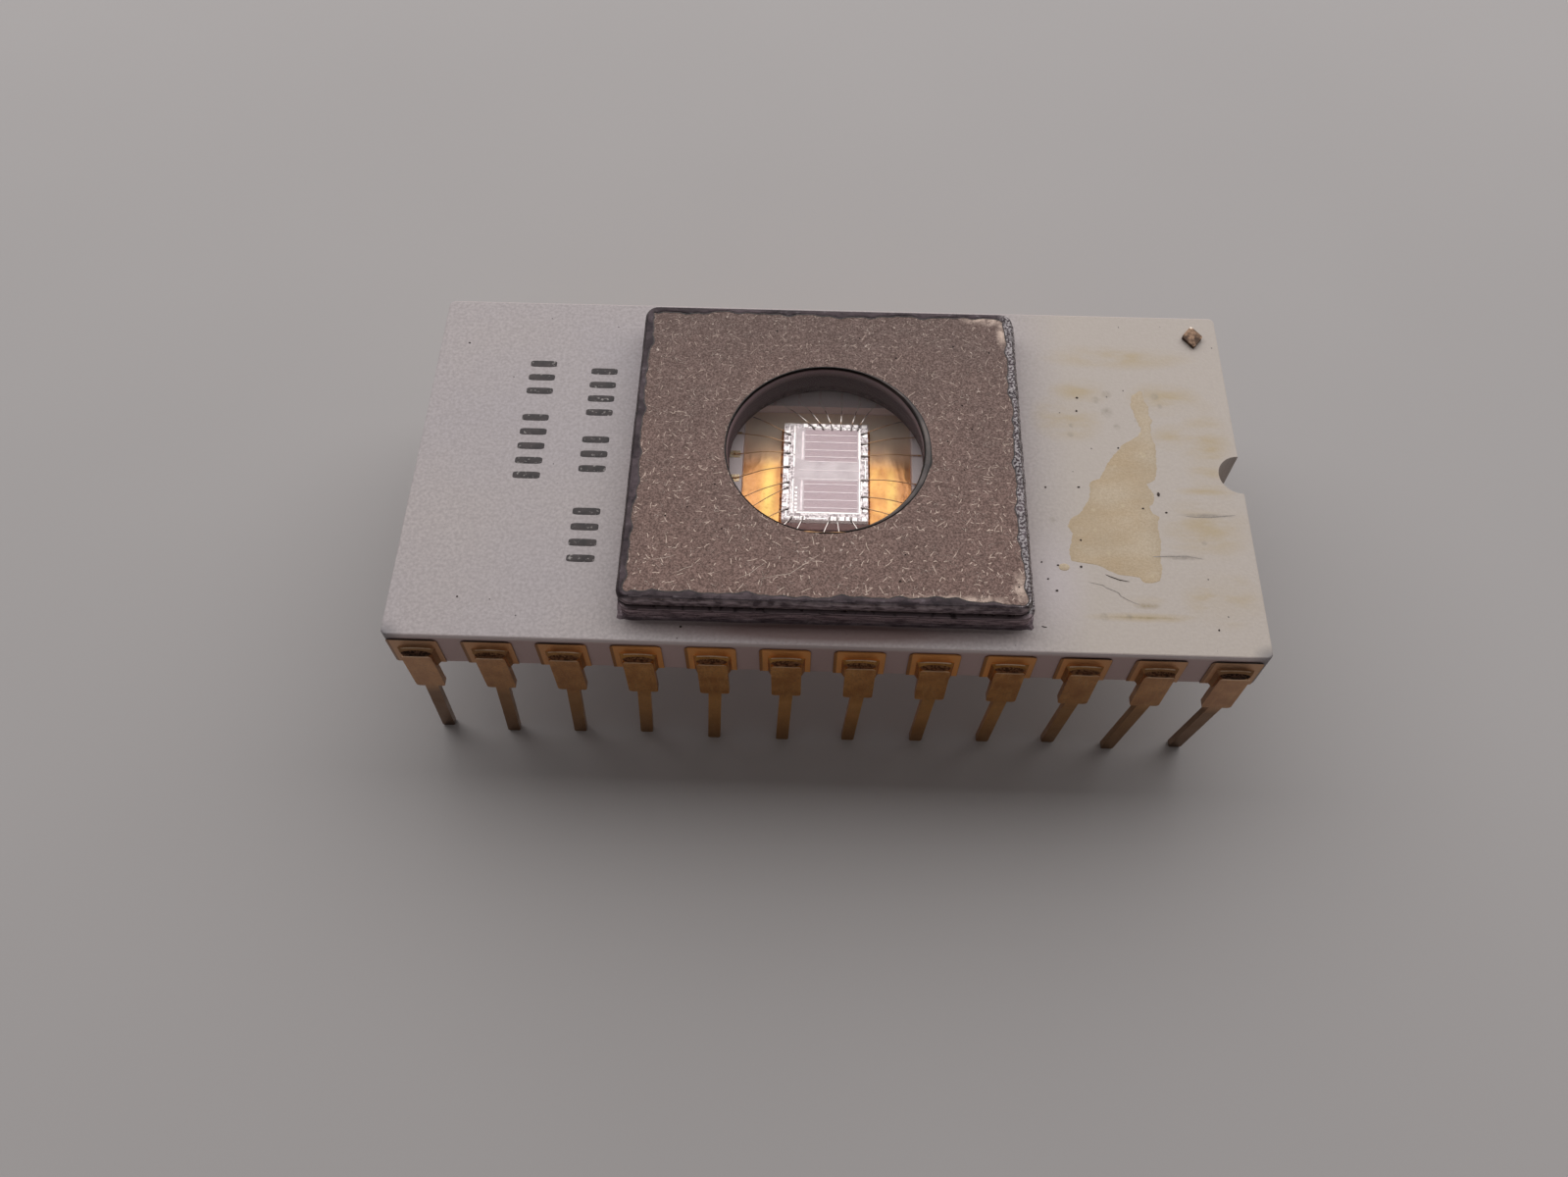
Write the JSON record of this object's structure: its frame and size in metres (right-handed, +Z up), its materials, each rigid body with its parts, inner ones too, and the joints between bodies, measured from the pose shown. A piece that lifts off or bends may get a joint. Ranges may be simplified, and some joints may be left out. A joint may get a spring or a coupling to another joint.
{
  "type": "eprom chip",
  "caption": "Erasable memory chip in a white side-brazed ceramic package, with a round glass window in a soldered metal lid and straight flat leads along both sides.",
  "frame": {"origin": "below the middle of the ceramic body, on the plane of the lead tips that the part stands on", "axes": "+X along the body towards the end with the notch, +Y across it towards leads 13 to 24, +Z up through the window"},
  "size_m": [0.03, 0.0155, 0.0082],
  "materials": {
    "white_alumina": "matt fired alumina",
    "gold_plated_kovar": "satin gold plate over nickel, dulled",
    "gold_plated_mark": "satin gold plate, dulled",
    "bright_gold": "bright gold plate",
    "gold_silicon": "rough gold-silicon bond",
    "oxidised_kovar": "dull oxidised metal",
    "lid_kovar": "satin metal with fine scratches",
    "dull_solder": "dull grey solder",
    "seal_glass": "grey sealing glass",
    "window_glass": "polished clear window",
    "silicon_die": "polished silicon with fine metal pattern",
    "aluminium_wire": "drawn aluminium wire"
  },
  "bodies": {
    "root": {"ceramic_body": "white_alumina", "lead_01": "gold_plated_kovar", "lead_02": "gold_plated_kovar", "lead_03": "gold_plated_kovar", "lead_04": "gold_plated_kovar", "lead_05": "gold_plated_kovar", "lead_06": "gold_plated_kovar", "lead_07": "gold_plated_kovar", "lead_08": "gold_plated_kovar", "lead_09": "gold_plated_kovar", "lead_10": "gold_plated_kovar", "lead_11": "gold_plated_kovar", "lead_12": "gold_plated_kovar", "lead_13": "gold_plated_kovar", "lead_14": "gold_plated_kovar", "lead_15": "gold_plated_kovar", "lead_16": "gold_plated_kovar", "lead_17": "gold_plated_kovar", "lead_18": "gold_plated_kovar", "lead_19": "gold_plated_kovar", "lead_20": "gold_plated_kovar", "lead_21": "gold_plated_kovar", "lead_22": "gold_plated_kovar", "lead_23": "gold_plated_kovar", "lead_24": "gold_plated_kovar", "index_mark": "gold_plated_mark", "seal_ring_braze": "dull_solder", "seal_ring": "oxidised_kovar", "lid_solder": "dull_solder", "window_frame": "lid_kovar", "glass_seal": "seal_glass", "window_glass": "window_glass", "cavity_plating": "bright_gold", "die_attach": "gold_silicon", "die": "silicon_die", "bond_wire_01": "aluminium_wire", "bond_wire_02": "aluminium_wire", "bond_wire_03": "aluminium_wire", "bond_wire_04": "aluminium_wire", "bond_wire_05": "aluminium_wire", "bond_wire_06": "aluminium_wire", "bond_wire_07": "aluminium_wire", "bond_wire_08": "aluminium_wire", "bond_wire_09": "aluminium_wire", "bond_wire_10": "aluminium_wire", "bond_wire_11": "aluminium_wire", "bond_wire_12": "aluminium_wire", "bond_wire_13": "aluminium_wire", "bond_wire_14": "aluminium_wire", "bond_wire_15": "aluminium_wire", "bond_wire_16": "aluminium_wire", "bond_wire_17": "aluminium_wire", "bond_wire_18": "aluminium_wire", "bond_wire_19": "aluminium_wire", "bond_wire_20": "aluminium_wire", "bond_wire_21": "aluminium_wire", "bond_wire_22": "aluminium_wire", "bond_wire_23": "aluminium_wire", "bond_wire_24": "aluminium_wire"}
  },
  "joints": []
}
